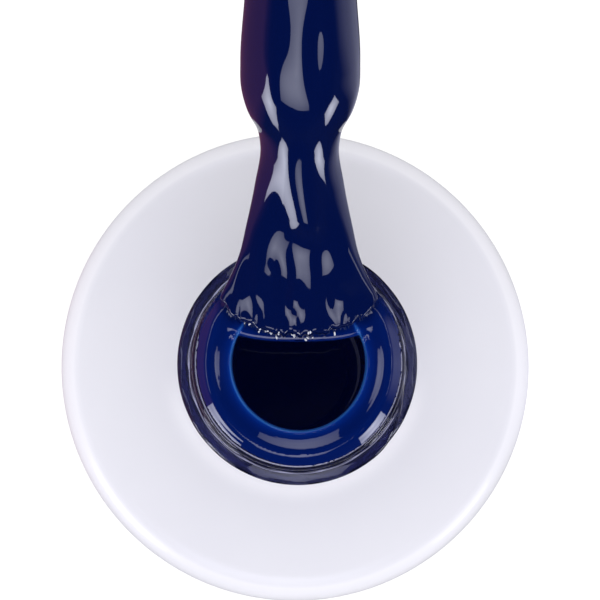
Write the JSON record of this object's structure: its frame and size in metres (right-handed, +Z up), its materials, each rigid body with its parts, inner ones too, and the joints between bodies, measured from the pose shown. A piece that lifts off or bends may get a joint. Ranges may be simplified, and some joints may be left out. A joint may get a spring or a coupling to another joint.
{
  "type": "nail polish bottle",
  "caption": "Round lacquered glass nail polish bottle with a threaded neck, and its capped brush drawn out and lying on the lip of the mouth.",
  "frame": {"origin": "centre of the bottle's base, on the surface that it stands on", "axes": "+Z up along the bottle's axis, +Y from the mouth towards the cap of the leaning brush, +X across the brush"},
  "size_m": [0.0264, 0.0794, 0.0834],
  "materials": {
    "clear_glass": "clear, polished",
    "white_lacquer": "smooth satin-gloss lacquer",
    "label_vinyl": "matt",
    "navy_polish": "wet, high gloss",
    "ball_steel": "polished",
    "bristle_nylon": "fine filaments",
    "staple_steel": "drawn wire",
    "stem_plastic": "moulded, semi-gloss",
    "inner_cap_plastic": "moulded, satin",
    "liner_foam": "foamed sheet",
    "cap_plastic": "moulded, high gloss"
  },
  "bodies": {
    "bottle": {"glass_bottle": "clear_glass", "white_coating": "white_lacquer", "base_label": "label_vinyl", "polish_fill": "navy_polish", "rim_polish": "navy_polish"},
    "ball_1": {"mixing_ball_1": "ball_steel"},
    "ball_2": {"mixing_ball_2": "ball_steel"},
    "bristles": {"bristle_bundle": "bristle_nylon", "bristle_polish": "navy_polish"},
    "handle": {"bristle_staple": "staple_steel", "brush_stem": "stem_plastic", "stem_polish": "navy_polish", "inner_cap": "inner_cap_plastic", "cap_liner": "liner_foam", "outer_cap": "cap_plastic"}
  },
  "joints": [
    {"name": "brush_lift", "type": "slide", "parent": "bottle", "child": "bristles", "axis": [0, 0, 1], "range_m": [0, 0.05]},
    {"name": "handle_tilt", "type": "hinge", "parent": "bristles", "child": "handle", "pos_m": [0, 0.01356, 0.05234], "axis": [1, 0, 0], "range_deg": [0, 40], "deforming": ["bristle_bundle", "bristle_polish"]},
    {"name": "ball_1_roll", "type": "hinge", "parent": "bottle", "child": "ball_1", "pos_m": [0, 0, 0.00525], "axis": [0, 0, 1], "range_deg": [-75, 75]},
    {"name": "ball_2_roll", "type": "hinge", "parent": "bottle", "child": "ball_2", "pos_m": [0, 0, 0.00525], "axis": [0, 0, 1], "range_deg": [-75, 75]}
  ]
}
